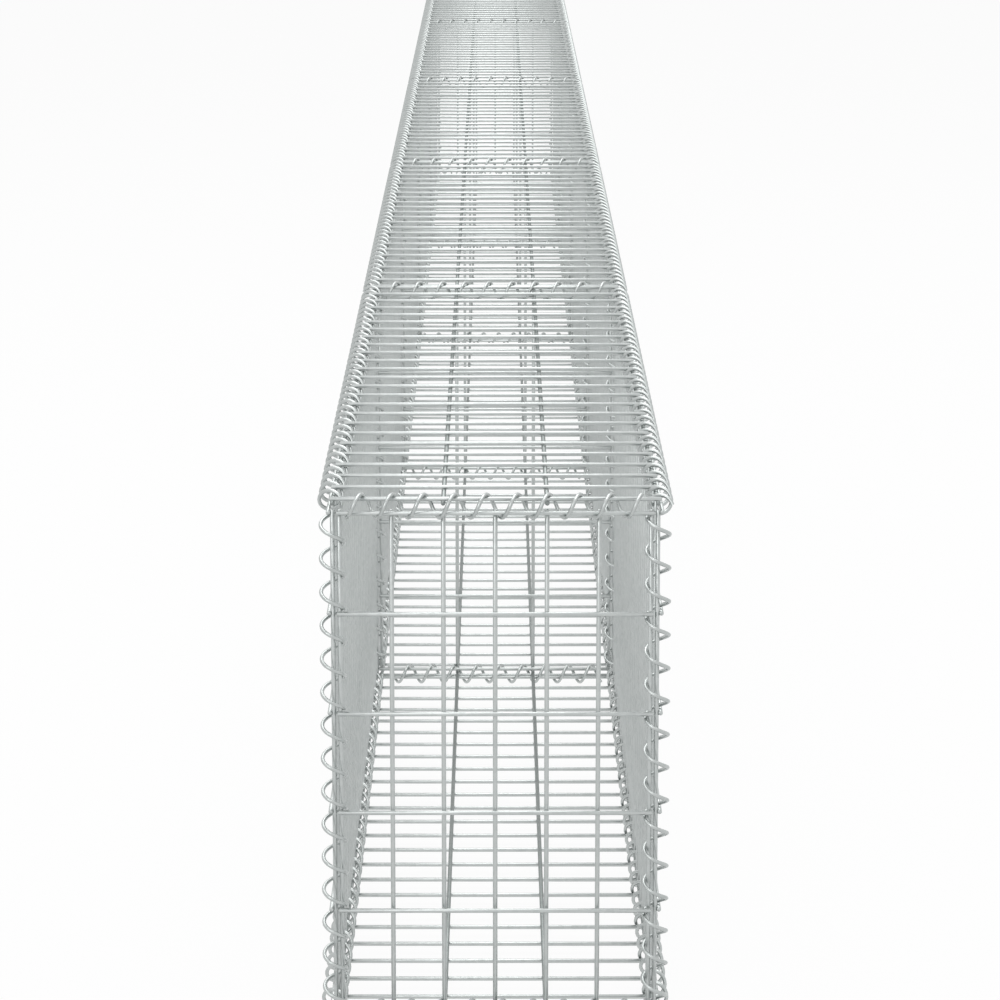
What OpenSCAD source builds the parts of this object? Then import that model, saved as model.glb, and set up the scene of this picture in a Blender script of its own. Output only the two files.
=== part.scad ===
// Gabion wall: empty welded-mesh baskets in a row, laced together with wire coils.
// X runs across the wall, Y along it and Z up. The wall stands on its base coils at Z = 0.

/* [Wall] */
// Number of baskets in the row
bays = 5; // [2:1:6]
// Mesh openings along one basket
bay_cells = 24; // [16:2:32]
// Mesh openings in the height of the upright panels
panel_cells = 5; // [3:1:8]
// Mesh openings across the end panels and dividers
frame_cells = 6; // [4:2:6]

/* [Mesh] */
// Close spacing of the mesh wires, the wide spacing being twice this
mesh_close = 50; // [48:1:52]
// Diameter of the mesh wire
wire_d = 4.5; // [4:0.1:4.6]
// Depth to which two crossing wires are welded into each other
weld_sink = 0.6; // [0.4:0.1:0.8]
// Length of wire standing past the centre of an edge wire
overhang = 3; // [2.5:0.1:3.2]

/* [Lacing] */
// Diameter of the coil wire
coil_wire_d = 3.8; // [3.2:0.1:3.9]
// Rise from the edge wire of an upright panel to the cross wires of the cover
cover_rise = 10.4; // [10:0.1:10.5]
// Gap between the edge wires of two baskets
joint_gap = 9.6; // [9:0.1:9.8]
// Distance from the end coils back to the first wires of a basket
end_inset = 2.7; // [2.4:0.1:2.8]
// Play between an upright coil and the edge wire of the panel in it
coil_play = 0.3; // [0.2:0.05:0.5]

/* [Hidden] */
zinc = "#b4b9b8";
coil_zinc = "#c3c7c6";
wire_sides = 8;
round_steps = 14;

mesh_wide = 2 * mesh_close;
layer = wire_d - weld_sink;

// Panel sizes, first wire to last
bay_l = bay_cells * mesh_close;
panel_h = panel_cells * mesh_wide;
frame_w = frame_cells * mesh_close;

// Coil forms: sine and cosine of the tilt of each half turn, as whole-number right triangles
steep = [0.6, 0.8];
shallow = [0.5376, 0.8432];

// Pitches that keep every turn clear of the mesh wires
edge_pitch = mesh_wide / 3;
end_pitch = mesh_wide * 3 / 10;
joint_pitch = mesh_close / 2;

// Turns: a coil stops short of the coils that it meets at a corner
edge_turns = round(1.5 * bay_cells) - 1.5;
upright_turns = 3 * panel_cells - 2;
end_turns = floor(frame_cells / 0.6 + 0.1) - 1.5;
joint_turns = 2 * frame_cells - 1.5;

// Starts, from the first mesh wire that the coil passes
edge_start = 0.7 * edge_pitch;
upright_joint_start = 1.34 * edge_pitch;
upright_end_start = edge_pitch;
upright_end_shift = edge_pitch / 4;
end_start = end_pitch * 2 / 3;
joint_start = 0.75 * joint_pitch;

// The long edges, the side panels and the upright coils share one line on each side
edge_x = frame_w / 2 + coil_narrow(edge_pitch, steep) - (coil_wire_d + wire_d) / 2 - coil_play;
joint_rise = cover_rise / 3;
edge_rise = cover_rise / 2 - 0.3;

wall_l = bays * bay_l + (bays - 1) * joint_gap + 2 * end_inset;
base_z = coil_wide(joint_pitch, shallow) + coil_wire_d / 2 - joint_rise;
panel_z = base_z + cover_rise;
cover_z = panel_z + panel_h + cover_rise;
middle_z = (base_z + cover_z) / 2;

function bay_y(b) = -wall_l / 2 + end_inset + (b - 1) * (bay_l + joint_gap);
function joint_y(j) = bay_y(j) + bay_l + joint_gap / 2;

// Half widths of a coil to its wire's centre
function coil_wide(pitch, tilt) = pitch / 4 / tilt[0];
function coil_narrow(pitch, tilt) = coil_wide(pitch, tilt) * tilt[1];

across = [
    -edge_x,
    for (x = [mesh_wide : mesh_wide : frame_w - mesh_close]) x - frame_w / 2,
    edge_x
];
along = [for (y = [0 : mesh_close : bay_l]) y];
upward = [for (z = [0 : mesh_wide : panel_h]) z];
end_across = [for (x = [0 : mesh_close : frame_w]) x - frame_w / 2];
divider_across = [for (x = [0 : mesh_wide : frame_w]) x - frame_w / 2];

// A wire along +Z from the origin, with an edge towards the wires that it is welded to
module wire(l) {
    cylinder(h = l, d = wire_d, $fn = wire_sides);
}

// A welded panel: wires along X at each of ys, and on one face of them wires along Y at each of xs
module mesh(xs, ys, face) {
    x_l = xs[len(xs) - 1] - xs[0] + 2 * overhang;
    y_l = ys[len(ys) - 1] - ys[0] + 2 * overhang;
    for (y = ys) translate([xs[0] - overhang, y, 0]) rotate([0, 90, 0]) wire(x_l);
    for (x = xs) translate([x, ys[0] - overhang, face * layer]) rotate([-90, 0, 0]) wire(y_l);
}

// A left-handed coil along +Z, from its narrow side at (coil_narrow, 0, 0).
// Each half turn is a half ring in a tilted plane, and the rings meet end to end in line.
// It is drawn at a size where all its numbers are exact, then scaled to its pitch.
module coil(pitch, tilt, turns) {
    ring_r = 12.5;
    half_pitch = 2 * ring_r * tilt[0];
    size = pitch / (2 * half_pitch);
    scale(size) for (k = [0 : 2 * turns - 1])
        translate([0, 0, k * half_pitch]) rotate([0, 0, 180 * k]) translate([0, 0, half_pitch / 2])
            multmatrix([[tilt[1], 0, tilt[0], 0], [0, 1, 0, 0], [-tilt[0], 0, tilt[1], 0]])
                rotate([180, 0, 0]) rotate_extrude(angle = 180, $fn = round_steps)
                    translate([ring_r, 0]) circle(d = coil_wire_d / size, $fn = round_steps);
}

module cover(b) {
    color(zinc) translate([0, bay_y(b), cover_z]) mesh(across, along, -1);
}

module base(b) {
    color(zinc) translate([0, bay_y(b), base_z]) mesh(across, along, 1);
}

// A side panel, its upright wires inside: side is -1 on the left and 1 on the right
module side_panel(b, side) {
    color(zinc) translate([side * edge_x, bay_y(b), panel_z])
        rotate([0, -90, 0]) mesh(upward, along, -side);
}

// A panel across the wall, its upright wires at y and its level wires on one face of them
module frame_panel(y, xs, face) {
    color(zinc) translate([0, y, panel_z])
        rotate([0, -90, -90]) mesh(upward, xs, face);
}

module front_end() {
    frame_panel(-wall_l / 2 - end_inset + layer, end_across, -1);
}

module back_end() {
    frame_panel(wall_l / 2 + end_inset - layer, end_across, 1);
}

module divider(j) {
    frame_panel(joint_y(j) + layer / 2, divider_across, -1);
}

// The coils along one basket's two long cover edges, and along those of its base when turned over
module edge_coils(b, flip) {
    color(coil_zinc) for (turn = [0, 180])
        translate([0, bay_y(b) + bay_l / 2, middle_z]) rotate([0, flip, turn])
            translate([edge_x, edge_start - bay_l / 2, cover_z - middle_z - edge_rise])
                rotate([0, -90, -90]) coil(edge_pitch, steep, edge_turns);
}

// One coil up a corner, from its outermost point: side is -1 on the left and 1 on the right
module upright_coil(y, side, start) {
    translate([side * edge_x, y, panel_z + start]) rotate([0, 0, side > 0 ? 0 : 180])
        coil(edge_pitch, steep, upright_turns);
}

// The coils up one side of the wall, at its two ends and at every divider
module upright_coils(side) {
    color(coil_zinc) {
        for (end = [-1, 1])
            upright_coil(end * wall_l / 2, side, upright_end_start + end * side * upright_end_shift);
        for (j = [1 : bays - 1]) upright_coil(joint_y(j), side, upright_joint_start);
    }
}

// The coils across the wall at the level of the covers, and of the base when turned over
module cross_coils(flip) {
    color(coil_zinc) translate([0, 0, middle_z]) rotate([0, flip, 0]) {
        for (turn = [0, 180]) rotate([0, 0, turn])
            translate([end_start - frame_w / 2, -wall_l / 2, cover_z - middle_z - cover_rise / 2])
                rotate([0, -90, 180]) coil(end_pitch, steep, end_turns);
        for (j = [1 : bays - 1])
            translate([joint_start - frame_w / 2, joint_y(j), cover_z - middle_z - joint_rise])
                rotate([90, 0, 90]) rotate([0, 0, 180]) coil(joint_pitch, shallow, joint_turns);
    }
}

for (b = [1 : bays]) {
    cover(b);
    base(b);
    side_panel(b, -1);
    side_panel(b, 1);
    edge_coils(b, 0);
    edge_coils(b, 180);
}
front_end();
back_end();
for (j = [1 : bays - 1])
    divider(j);
upright_coils(-1);  // left_upright_coils
upright_coils(1);  // right_upright_coils
cross_coils(0);  // cover_cross_coils
cross_coils(180);  // base_cross_coils
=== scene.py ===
"""Gabion wall: empty welded-mesh baskets in a row, laced together with wire coils."""
import math

import bpy
from mathutils import Matrix, Vector


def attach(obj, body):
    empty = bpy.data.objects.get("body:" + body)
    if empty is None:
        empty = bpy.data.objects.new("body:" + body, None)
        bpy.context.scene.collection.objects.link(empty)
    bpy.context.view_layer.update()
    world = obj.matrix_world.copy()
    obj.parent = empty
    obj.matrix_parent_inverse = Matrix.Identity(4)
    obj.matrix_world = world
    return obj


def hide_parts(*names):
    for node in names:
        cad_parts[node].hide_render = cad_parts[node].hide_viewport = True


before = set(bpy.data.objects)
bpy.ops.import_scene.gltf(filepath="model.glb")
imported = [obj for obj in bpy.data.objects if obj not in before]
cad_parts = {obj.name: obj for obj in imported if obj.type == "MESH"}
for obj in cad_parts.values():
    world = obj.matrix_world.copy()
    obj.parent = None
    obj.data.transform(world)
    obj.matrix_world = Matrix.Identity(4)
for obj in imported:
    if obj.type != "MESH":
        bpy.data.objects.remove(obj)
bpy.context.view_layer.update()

# Sizes are in millimetres. X runs across the wall, Y along it and Z up.
MM = 0.001
PER_METRE = 1000

# Wall and mesh, as in the solids
BAYS = 5
MESH_CLOSE = 50
MESH_WIDE = 100
BAY_L = 1200
PANEL_H = 500
FRAME_W = 300
WIRE_D = 4.5
WELD_SINK = 0.6
OVERHANG = 3
COVER_RISE = 10.4
JOINT_GAP = 9.6
END_INSET = 2.7
# The line of the long edges, and the height of the base's cross wires
EDGE_X = 156.661
BASE_Z = 10.059

LAYER = WIRE_D - WELD_SINK
PANEL_Z = BASE_Z + COVER_RISE
COVER_Z = PANEL_Z + PANEL_H + COVER_RISE
MIDDLE_Z = (BASE_Z + COVER_Z) / 2
WALL_L = BAYS * BAY_L + (BAYS - 1) * JOINT_GAP + 2 * END_INSET
# The covers lie this much higher on the panels than those of the solids
COVER_LIFT = 2.5

# Finish of the wires and weld spots
WIRE_SIDES = 12
CUT_BEVEL = 0.5
WELD_R = 2.7
WELD_SEGMENTS = 8
WELD_RINGS = 4
WELD_FLATNESS = 0.5
SMOOTH_BELOW = math.radians(50)

# Lacing coils: a radius is to the wire's centre, a start is the angle in degrees at which the coil begins,
# and a drop is how far the coil's axis lies inside the level of the solids' cover or base
COIL_WIRE_D = 3.8
COIL_SIDES = 10
COIL_STEPS_PER_TURN = 24

# Coils along the long edges, their axis a little outside the edge
EDGE_COIL = {"radius": 11.2, "pitch": MESH_WIDE / 3, "turns": 35.5, "start": 72}
EDGE_OUT = 3
EDGE_DROP = 6.5

# Coils across the wall, at its ends and at its joints, and where they begin on the left
CROSS_PITCH = 30
CROSS_TURNS = 9.4
END_COILS = {
    "cover": {"radius": 11.3, "start": 240, "drop": 3.95},
    "base": {"radius": 10.8, "start": 105, "drop": COVER_RISE / 2},
}
JOINT_COILS = {
    "cover": {"radius": 11.65, "start": 226, "drop": 3.2},
    "base": {"radius": 11.2, "start": 80, "drop": COVER_RISE / 3},
}
END_COIL_X = -142
JOINT_COIL_X = -140

# Coils up the corners and the dividers' edges: the angle at the panel's lowest wires, and the
# heights over these at which the coil's two ends tuck in behind the edge
UPRIGHT_RADIUS = 11.3
UPRIGHT_PITCH = MESH_WIDE / 3
CORNER_A = {"angle": 128, "low": 1, "high": 497}
CORNER_B = {"angle": 232, "low": 3, "high": 499}
DIVIDER_EDGE = {"angle": 0, "low": 4, "high": 496}
UPRIGHT_COILS = {
    "right": {"front": CORNER_A, "back": CORNER_B, "joint": DIVIDER_EDGE},
    "left": {"front": CORNER_B, "back": CORNER_A, "joint": DIVIDER_EDGE},
}


def bay_y(bay):
    return -WALL_L / 2 + END_INSET + (bay - 1) * (BAY_L + JOINT_GAP)


def joint_y(joint):
    return bay_y(joint) + BAY_L + JOINT_GAP / 2


def evenly(first, last, step):
    return [first + step * i for i in range(int(round((last - first) / step)) + 1)]


# Places of the wires in each kind of panel
ALONG = evenly(0, BAY_L, MESH_CLOSE)
UPWARD = evenly(0, PANEL_H, MESH_WIDE)
ACROSS = [-EDGE_X, -MESH_CLOSE, MESH_CLOSE, EDGE_X]
END_ACROSS = evenly(-FRAME_W / 2, FRAME_W / 2, MESH_CLOSE)
DIVIDER_ACROSS = evenly(-FRAME_W / 2, FRAME_W / 2, MESH_WIDE)


# Materials

WHITE = (1, 1, 1, 1)
# A cloud of lighter or darker zinc spans this many crystals
CLOUD_SPANGLES = 6
CLOUD_DETAIL = 2.0
GRAIN_DETAIL = 3.0
GRAIN_STRENGTH = 0.5


def linear(hex_colour):
    """An sRGB hex colour as linear RGBA."""
    parts = [int(hex_colour[i:i + 2], 16) / 255 for i in (1, 3, 5)]
    return [c / 12.92 if c <= 0.04045 else ((c + 0.055) / 1.055) ** 2.4 for c in parts] + [1.0]


def add_node(tree, kind, inputs, **settings):
    """Adds a node, sets it up, and links or sets each of its inputs."""
    made = tree.nodes.new(kind)
    for name, value in settings.items():
        setattr(made, name, value)
    for socket, value in inputs.items():
        if isinstance(value, bpy.types.NodeSocket):
            tree.links.new(value, made.inputs[socket])
        else:
            made.inputs[socket].default_value = value
    return made


def zinc_coat(name, pale, deep, spangle_mm, grain_mm, smooth, rough, bump_mm):
    """Steel wire with a zinc coat: crystals of slightly different grey, and a finely uneven skin."""
    material = bpy.data.materials.new(name)
    material.use_nodes = True
    tree = material.node_tree
    shader = tree.nodes["Principled BSDF"]
    where = add_node(tree, "ShaderNodeTexCoord", {}).outputs["Object"]
    spangle = add_node(
        tree, "ShaderNodeTexVoronoi", {"Vector": where, "Scale": PER_METRE / spangle_mm}
    )
    crystal = add_node(tree, "ShaderNodeSeparateColor", {"Color": spangle.outputs["Color"]})
    cloud_scale = PER_METRE / (CLOUD_SPANGLES * spangle_mm)
    cloud = add_node(
        tree, "ShaderNodeTexNoise", {"Vector": where, "Scale": cloud_scale, "Detail": CLOUD_DETAIL}
    )
    tone = add_node(
        tree, "ShaderNodeMath",
        {0: crystal.outputs["Red"], 1: cloud.outputs["Fac"]}, operation="MULTIPLY",
    )
    colour = add_node(
        tree, "ShaderNodeMix",
        {"Factor": tone.outputs[0], "A": linear(pale), "B": linear(deep)}, data_type="RGBA",
    )
    gloss = add_node(
        tree, "ShaderNodeMapRange",
        {"Value": crystal.outputs["Green"], "To Min": smooth, "To Max": rough},
    )
    grain = add_node(
        tree, "ShaderNodeTexNoise",
        {"Vector": where, "Scale": PER_METRE / grain_mm, "Detail": GRAIN_DETAIL},
    )
    skin = add_node(
        tree, "ShaderNodeBump",
        {"Height": grain.outputs["Fac"], "Strength": GRAIN_STRENGTH, "Distance": bump_mm * MM},
    )
    tree.links.new(colour.outputs["Result"], shader.inputs["Base Color"])
    tree.links.new(gloss.outputs["Result"], shader.inputs["Roughness"])
    tree.links.new(skin.outputs["Normal"], shader.inputs["Normal"])
    shader.inputs["Metallic"].default_value = 1.0
    return material


# Hot-dip galvanised mesh wire: dull, cool grey, with spangle about as wide as the wire
mesh_zinc = zinc_coat(
    "hot-dip galvanised steel wire", pale="#c3c7c6", deep="#b5bab9",
    spangle_mm=5, grain_mm=1.5, smooth=0.3, rough=0.4, bump_mm=0.08,
)
# Long wires of the covers and bases: the same zinc coat, a little duller, and darker by painted shade that
# stands in for the dim reflections these wires show along their length
long_zinc_painted_shade = zinc_coat(
    "galvanised steel wire with painted shade", pale="#959a99", deep="#878d8b",
    spangle_mm=5, grain_mm=1.5, smooth=0.36, rough=0.46, bump_mm=0.08,
)
# Spot welds: zinc burnt a little duller and darker by the weld
weld_zinc = zinc_coat(
    "spot-welded zinc", pale="#acb0af", deep="#9aa09e",
    spangle_mm=2.5, grain_mm=0.8, smooth=0.42, rough=0.55, bump_mm=0.15,
)
# Galvanised coil wire: drawn, so it is smoother and shinier than the mesh
coil_zinc = zinc_coat(
    "drawn galvanised steel wire", pale="#bec2c1", deep="#b0b5b4",
    spangle_mm=4, grain_mm=1.2, smooth=0.26, rough=0.34, bump_mm=0.05,
)


# Modelling

def deselect():
    bpy.ops.object.select_all(action="DESELECT")


def pick(piece):
    deselect()
    piece.select_set(True)
    bpy.context.view_layer.objects.active = piece


def settle(piece):
    """Puts the piece's place and turn into its mesh."""
    pick(piece)
    bpy.ops.object.transform_apply(location=True, rotation=True, scale=True)
    return piece


def repeat(piece, count, step):
    """Copies the piece's mesh in a row, step being in millimetres."""
    pick(piece)
    bpy.ops.object.modifier_add(type="ARRAY")
    row = piece.modifiers[-1]
    row.count = count
    row.use_relative_offset = False
    row.use_constant_offset = True
    row.constant_offset_displace = Vector(step) * MM
    bpy.ops.object.modifier_apply(modifier=row.name)
    return piece


def dress(piece, material):
    piece.data.materials.clear()
    piece.data.materials.append(material)
    return piece


def cut_wire(middle, length, turn, material):
    """A straight length of mesh wire, its sheared ends a little rounded."""
    deselect()
    bpy.ops.mesh.primitive_cylinder_add(
        vertices=WIRE_SIDES, radius=WIRE_D / 2 * MM, depth=length * MM,
        location=Vector(middle) * MM, rotation=turn,
    )
    piece = bpy.context.active_object
    bpy.ops.object.mode_set(mode="EDIT")
    bpy.ops.mesh.select_all(action="DESELECT")
    bpy.ops.mesh.select_mode(type="FACE")
    bpy.ops.mesh.select_face_by_sides(number=WIRE_SIDES, type="EQUAL")
    bpy.ops.mesh.region_to_loop()
    bpy.ops.mesh.bevel(offset=CUT_BEVEL * MM, segments=1, affect="EDGES")
    bpy.ops.object.mode_set(mode="OBJECT")
    return dress(settle(piece), material)


def weld_spot(middle):
    """The flattened bead of zinc and steel where two wires are welded across each other."""
    deselect()
    bpy.ops.mesh.primitive_uv_sphere_add(
        segments=WELD_SEGMENTS, ring_count=WELD_RINGS, radius=WELD_R * MM, location=Vector(middle) * MM
    )
    piece = bpy.context.active_object
    bpy.ops.object.mode_set(mode="EDIT")
    bpy.ops.mesh.select_all(action="SELECT")
    bpy.ops.transform.resize(value=(1, 1, WELD_FLATNESS))
    bpy.ops.object.mode_set(mode="OBJECT")
    return dress(settle(piece), weld_zinc)


def join(name, pieces):
    deselect()
    for piece in pieces:
        piece.select_set(True)
    bpy.context.view_layer.objects.active = pieces[0]
    bpy.ops.object.join()
    whole = bpy.context.active_object
    whole.name = name
    pick(whole)
    bpy.ops.object.shade_smooth_by_angle(angle=SMOOTH_BELOW)
    return whole


def welded_mesh(name, xs, ys, long_material):
    """Wires along X at each of ys, and under them wires along Y at each of xs, welded where they cross."""
    x_l = xs[-1] - xs[0] + 2 * OVERHANG
    y_l = ys[-1] - ys[0] + 2 * OVERHANG
    step = (0, ys[1] - ys[0], 0)
    middle_x, middle_y = (xs[0] + xs[-1]) / 2, (ys[0] + ys[-1]) / 2
    along_x_axis, along_y_axis = (0, math.pi / 2, 0), (math.pi / 2, 0, 0)
    pieces = [repeat(cut_wire((middle_x, ys[0], 0), x_l, along_x_axis, mesh_zinc), len(ys), step)]
    for x in xs:
        pieces.append(cut_wire((x, middle_y, -LAYER), y_l, along_y_axis, long_material))
        pieces.append(repeat(weld_spot((x, ys[0], -LAYER / 2)), len(ys), step))
    return join(name, pieces)


def wound_coil(radius, pitch, turns, start):
    """A left-handed coil along +Z from the origin, from the angle start."""
    lead = math.atan2(pitch, 2 * math.pi * radius)
    deselect()
    bpy.ops.mesh.primitive_circle_add(
        vertices=COIL_SIDES, radius=COIL_WIRE_D / 2 * MM,
        location=(radius * MM, 0, 0), rotation=(math.pi / 2, 0, 0),
    )
    piece = settle(bpy.context.active_object)
    # The section is stretched along the axis, so that the wire stays round where it climbs
    bpy.ops.object.mode_set(mode="EDIT")
    bpy.ops.mesh.select_all(action="SELECT")
    bpy.ops.transform.resize(value=(1, 1, 1 / math.cos(lead)))
    bpy.ops.object.mode_set(mode="OBJECT")
    bpy.ops.object.modifier_add(type="SCREW")
    winding = piece.modifiers[-1]
    winding.axis = "Z"
    winding.angle = -2 * math.pi * turns
    winding.screw_offset = pitch * turns * MM
    winding.steps = winding.render_steps = round(COIL_STEPS_PER_TURN * turns)
    bpy.ops.object.modifier_apply(modifier=winding.name)
    bpy.ops.object.mode_set(mode="EDIT")
    bpy.ops.mesh.select_all(action="SELECT")
    bpy.ops.mesh.fill_holes(sides=COIL_SIDES)
    bpy.ops.mesh.select_all(action="SELECT")
    bpy.ops.mesh.normals_make_consistent(inside=False)
    bpy.ops.object.mode_set(mode="OBJECT")
    piece.rotation_euler = (0, 0, math.radians(start))
    return dress(settle(piece), coil_zinc)


def upright_coil(angle, low, high):
    """One coil up an edge, from the height of the panel's lowest wires at the origin."""
    turns = (high - low) / UPRIGHT_PITCH
    piece = wound_coil(UPRIGHT_RADIUS, UPRIGHT_PITCH, turns, angle - 360 * low / UPRIGHT_PITCH)
    piece.location.z = low * MM
    return settle(piece)


def at(x, y, z):
    return Matrix.Translation(Vector((x, y, z)) * MM)


def about(axis, degrees):
    return Matrix.Rotation(math.radians(degrees), 4, axis)


def copy_to(pattern, name, place):
    """A copy of the pattern with its own mesh, at that place."""
    pick(pattern)
    bpy.ops.object.duplicate()
    piece = bpy.context.active_object
    piece.name = name
    piece.data.name = name
    piece.matrix_world = place
    return settle(piece)


def discard(patterns):
    for pattern in patterns:
        bpy.data.objects.remove(pattern)


def hand_over(piece, node):
    """The finished piece stands for its CAD node."""
    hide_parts(node)
    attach(piece, "root")


# Turns of the patterns. The base is the cover turned over, and the left is the right turned half round.
as_made = Matrix.Identity(4)
upright = about("Y", -90)
facing_front = about("Z", -90) @ upright
half_turn = about("Z", 180)
turned_over = about("Y", 180)
along_y = Matrix(((0, 1, 0, 0), (0, 0, 1, 0), (1, 0, 0, 0), (0, 0, 0, 1)))
along_x = Matrix(((0, 0, 1, 0), (1, 0, 0, 0), (0, 1, 0, 0), (0, 0, 0, 1)))
levels = {"cover": as_made, "base": turned_over}

# Panels
# The long wires of the covers and bases take the darker zinc, whose darkness is painted shade
lid_mesh = welded_mesh("lid_mesh", ACROSS, ALONG, long_zinc_painted_shade)
side_mesh = welded_mesh("side_mesh", UPWARD, ALONG, mesh_zinc)
end_mesh = welded_mesh("end_mesh", UPWARD, END_ACROSS, mesh_zinc)
divider_mesh = welded_mesh("divider_mesh", UPWARD, DIVIDER_ACROSS, mesh_zinc)

for bay in range(1, BAYS + 1):
    near, far = bay_y(bay), bay_y(bay) + BAY_L
    panels = {
        f"cover_{bay}": (lid_mesh, at(0, near, COVER_Z + COVER_LIFT)),
        f"base_{bay}": (lid_mesh, at(0, near, BASE_Z) @ turned_over),
        f"right_side_{bay}": (side_mesh, at(EDGE_X, near, PANEL_Z) @ upright),
        f"left_side_{bay}": (side_mesh, at(-EDGE_X, far, PANEL_Z) @ half_turn @ upright),
    }
    for node, (pattern, place) in panels.items():
        hand_over(copy_to(pattern, f"{node}_mesh", place), node)

front = at(0, -WALL_L / 2 - END_INSET + LAYER, PANEL_Z) @ facing_front
hand_over(copy_to(end_mesh, "front_end_mesh", front), "front_end")
hand_over(copy_to(end_mesh, "back_end_mesh", half_turn @ front), "back_end")
for joint in range(1, BAYS):
    place = at(0, joint_y(joint) + LAYER / 2, PANEL_Z) @ facing_front
    hand_over(copy_to(divider_mesh, f"divider_{joint}_mesh", place), f"divider_{joint}")
discard((lid_mesh, side_mesh, end_mesh, divider_mesh))

# Coils along the long edges
edge_coil = wound_coil(**EDGE_COIL)
edge_place = at(EDGE_X + EDGE_OUT, -BAY_L / 2, COVER_Z - MIDDLE_Z - EDGE_DROP) @ along_y
for bay in range(1, BAYS + 1):
    centre = at(0, bay_y(bay) + BAY_L / 2, MIDDLE_Z)
    for level, flip in levels.items():
        node = f"{level}_edge_coils_{bay}"
        pair = [
            copy_to(edge_coil, f"{node}_{i}", centre @ flip @ turn @ edge_place)
            for i, turn in enumerate((as_made, half_turn))
        ]
        hand_over(join(f"{node}_lacing", pair), node)
discard([edge_coil])

# Coils up the corners and the dividers' edges
for side, sign, turn in (("right", 1, as_made), ("left", -1, half_turn)):
    node = f"{side}_upright_coils"
    patterns = {where: upright_coil(**form) for where, form in UPRIGHT_COILS[side].items()}
    places = [("front", -WALL_L / 2), ("back", WALL_L / 2)]
    places += [("joint", joint_y(joint)) for joint in range(1, BAYS)]
    lacing = [
        copy_to(patterns[where], f"{node}_{i}", at(sign * EDGE_X, y, PANEL_Z) @ turn)
        for i, (where, y) in enumerate(places)
    ]
    hand_over(join(f"{node}_lacing", lacing), node)
    discard(patterns.values())

# Coils across the wall, at both ends and at each divider
for level, flip in levels.items():
    node = f"{level}_cross_coils"
    end_form, joint_form = END_COILS[level], JOINT_COILS[level]
    end_coil = wound_coil(end_form["radius"], CROSS_PITCH, CROSS_TURNS, end_form["start"])
    joint_coil = wound_coil(joint_form["radius"], CROSS_PITCH, CROSS_TURNS, joint_form["start"])
    middle = at(0, 0, MIDDLE_Z) @ flip
    end_place = at(END_COIL_X, -WALL_L / 2, COVER_Z - MIDDLE_Z - end_form["drop"]) @ along_x
    lacing = [
        copy_to(end_coil, f"{node}_end_{i}", middle @ turn @ end_place)
        for i, turn in enumerate((as_made, half_turn))
    ]
    for joint in range(1, BAYS):
        place = at(JOINT_COIL_X, joint_y(joint), COVER_Z - MIDDLE_Z - joint_form["drop"]) @ along_x
        lacing.append(copy_to(joint_coil, f"{node}_{joint}", middle @ place))
    hand_over(join(f"{node}_lacing", lacing), node)
    discard((end_coil, joint_coil))


# Studio, in metres
FLOOR_SIZE = 60
FLOOR_COLOUR = "#f4f4f4"
# Share of the floor that shows as plain white, the rest keeping the wall's shadow
FLOOR_FADE = 0.93
WORLD_LIGHT = 0.5
CAMERA_PLACE = (0, -6.3027, 1.3025)
CAMERA_TILT = 79.37

scene = bpy.context.scene
scene.view_settings.view_transform = "Standard"


def seen_directly(tree):
    """1 for what the camera, a mirror or a glass sees, 0 for what only lights other things."""
    path = add_node(tree, "ShaderNodeLightPath", {})
    sharp = add_node(
        tree, "ShaderNodeMath",
        {0: path.outputs["Is Glossy Ray"], 1: path.outputs["Is Transmission Ray"]}, operation="MAXIMUM",
    )
    return add_node(
        tree, "ShaderNodeMath",
        {0: path.outputs["Is Camera Ray"], 1: sharp.outputs[0]}, operation="MAXIMUM",
    ).outputs[0]


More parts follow.
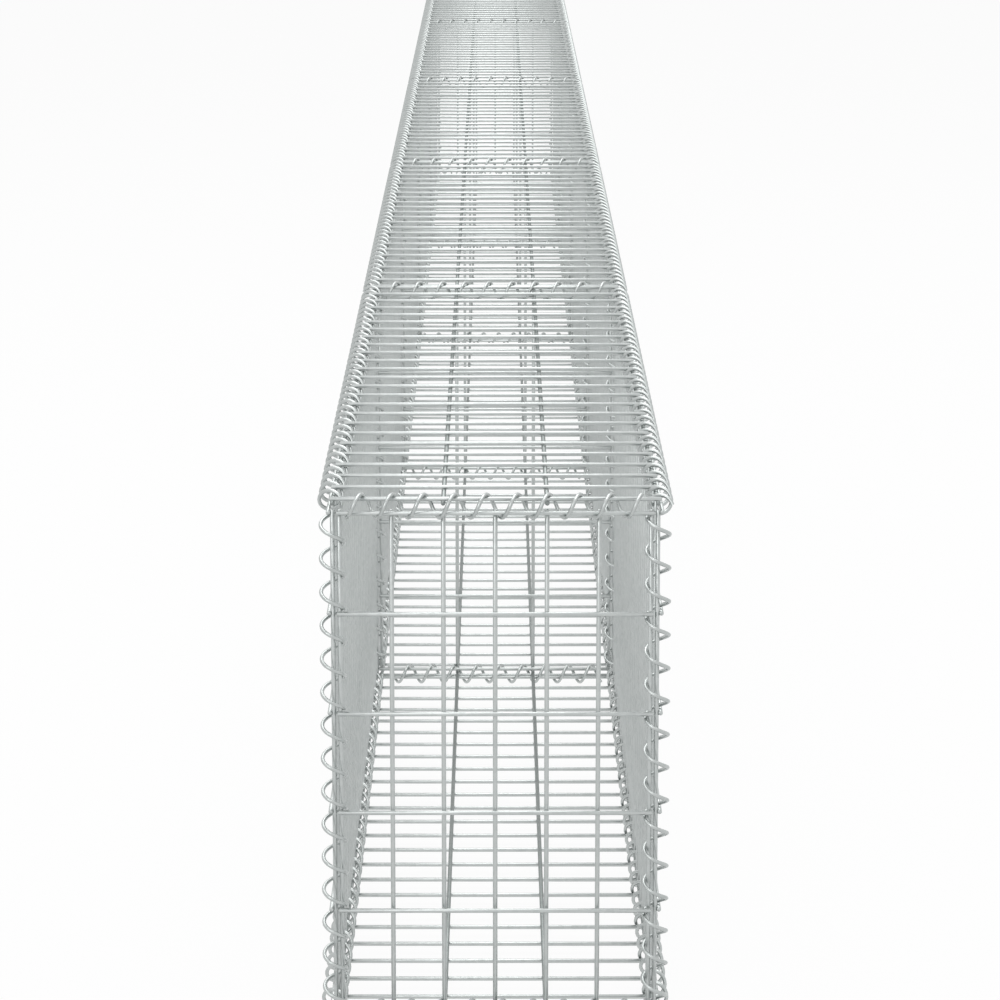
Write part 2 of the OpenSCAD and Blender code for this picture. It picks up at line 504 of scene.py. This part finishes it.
# White studio paper: matt and plain, with hardly more than the wall's shadow on it
floor_white = bpy.data.materials.new("white studio paper")
floor_white.use_nodes = True
tree = floor_white.node_tree
tree.nodes.remove(tree.nodes["Principled BSDF"])
paper = add_node(tree, "ShaderNodeBsdfDiffuse", {"Color": linear(FLOOR_COLOUR)})
glow = add_node(tree, "ShaderNodeEmission", {"Color": WHITE, "Strength": 1.0})
fade = add_node(tree, "ShaderNodeMath", {0: seen_directly(tree), 1: FLOOR_FADE}, operation="MULTIPLY")
blend = add_node(
    tree, "ShaderNodeMixShader", {0: fade.outputs[0], 1: paper.outputs[0], 2: glow.outputs[0]}
)
tree.links.new(blend.outputs[0], tree.nodes["Material Output"].inputs["Surface"])

deselect()
bpy.ops.mesh.primitive_plane_add(size=FLOOR_SIZE, location=(0, 0, 0))
floor = bpy.context.active_object
floor.name = "studio_floor"
floor.data.materials.append(floor_white)

world = bpy.data.worlds.new("studio")
world.use_nodes = True
scene.world = world
tree = world.node_tree
strength = add_node(
    tree, "ShaderNodeMapRange", {"Value": seen_directly(tree), "To Min": WORLD_LIGHT, "To Max": 1.0}
)
sky = tree.nodes["Background"]
sky.inputs["Color"].default_value = WHITE
tree.links.new(strength.outputs["Result"], sky.inputs["Strength"])


def soft_lamp(name, place, aim, size, watts):
    data = bpy.data.lights.new(name, "AREA")
    data.shape = "RECTANGLE"
    data.size, data.size_y = size
    data.energy = watts
    lamp = bpy.data.objects.new(name, data)
    scene.collection.objects.link(lamp)
    lamp.location = place
    lamp.rotation_euler = (Vector(aim) - Vector(place)).to_track_quat("-Z", "Y").to_euler()


soft_lamp("overhead_softbox", place=(0, -1.0, 5.0), aim=(0, -1.0, 0), size=(4, 6), watts=150)
soft_lamp("front_softbox", place=(-2.5, -7.5, 3.5), aim=(0, -2, 0.3), size=(3, 3), watts=50)

camera_data = bpy.data.cameras.new("photo_camera")
camera_data.sensor_width = 36
camera_data.lens = 126.3
camera_data.shift_x = 0.0048
camera_data.shift_y = -0.1576
camera_data.clip_end = 200
camera = bpy.data.objects.new("photo_camera", camera_data)
scene.collection.objects.link(camera)
camera.location = CAMERA_PLACE
camera.rotation_euler = (math.radians(CAMERA_TILT), 0, 0)
scene.camera = camera
